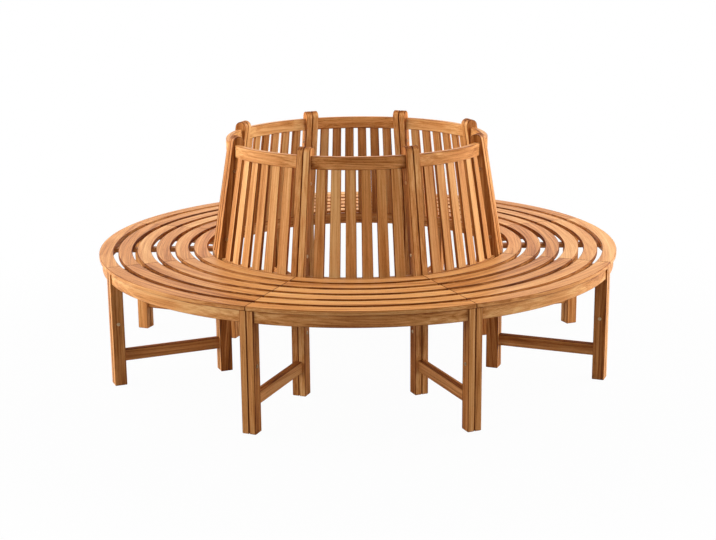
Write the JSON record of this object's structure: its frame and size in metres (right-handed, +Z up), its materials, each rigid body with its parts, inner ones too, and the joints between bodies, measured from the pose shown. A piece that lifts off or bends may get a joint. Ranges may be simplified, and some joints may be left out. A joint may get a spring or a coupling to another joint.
{
  "type": "tree bench",
  "caption": "Round wooden bench that closes round a tree trunk: a ring seat of curved slats on radial frames, with a leaning slatted back on its inner side.",
  "frame": {"origin": "on the ground at the centre of the ring, where the trunk stands", "axes": "+Z up; the middle of section 1 points along -Y; seams at 22.5 degrees and every 45 degrees from there"},
  "size_m": [2, 2, 0.9],
  "materials": {
    "seat_wood": "oiled hardwood, light orange-tan, satin",
    "frame_wood": "oiled hardwood, light orange-tan, satin",
    "zinc_steel": "zinc-plated, satin"
  },
  "bodies": {
    "root": {"outer_legs_1": "frame_wood", "rear_posts_1": "frame_wood", "stretchers_1": "frame_wood", "seat_bearers_1": "frame_wood", "seat_slats_1": "seat_wood", "seat_batten_1": "frame_wood", "back_slats_1": "frame_wood", "outer_legs_2": "frame_wood", "rear_posts_2": "frame_wood", "stretchers_2": "frame_wood", "seat_bearers_2": "frame_wood", "seat_slats_2": "seat_wood", "seat_batten_2": "frame_wood", "back_slats_2": "frame_wood", "outer_legs_3": "frame_wood", "rear_posts_3": "frame_wood", "stretchers_3": "frame_wood", "seat_bearers_3": "frame_wood", "seat_slats_3": "seat_wood", "seat_batten_3": "frame_wood", "back_slats_3": "frame_wood", "outer_legs_4": "frame_wood", "rear_posts_4": "frame_wood", "stretchers_4": "frame_wood", "seat_bearers_4": "frame_wood", "seat_slats_4": "seat_wood", "seat_batten_4": "frame_wood", "back_slats_4": "frame_wood", "outer_legs_5": "frame_wood", "rear_posts_5": "frame_wood", "stretchers_5": "frame_wood", "seat_bearers_5": "frame_wood", "seat_slats_5": "seat_wood", "seat_batten_5": "frame_wood", "back_slats_5": "frame_wood", "outer_legs_6": "frame_wood", "rear_posts_6": "frame_wood", "stretchers_6": "frame_wood", "seat_bearers_6": "frame_wood", "seat_slats_6": "seat_wood", "seat_batten_6": "frame_wood", "back_slats_6": "frame_wood", "outer_legs_7": "frame_wood", "rear_posts_7": "frame_wood", "stretchers_7": "frame_wood", "seat_bearers_7": "frame_wood", "seat_slats_7": "seat_wood", "seat_batten_7": "frame_wood", "back_slats_7": "frame_wood", "outer_legs_8": "frame_wood", "rear_posts_8": "frame_wood", "stretchers_8": "frame_wood", "seat_bearers_8": "frame_wood", "seat_slats_8": "seat_wood", "seat_batten_8": "frame_wood", "back_slats_8": "frame_wood", "front_aprons": "frame_wood", "bottom_rails": "frame_wood", "top_rails": "frame_wood", "connector_bolts": "zinc_steel"}
  },
  "joints": []
}
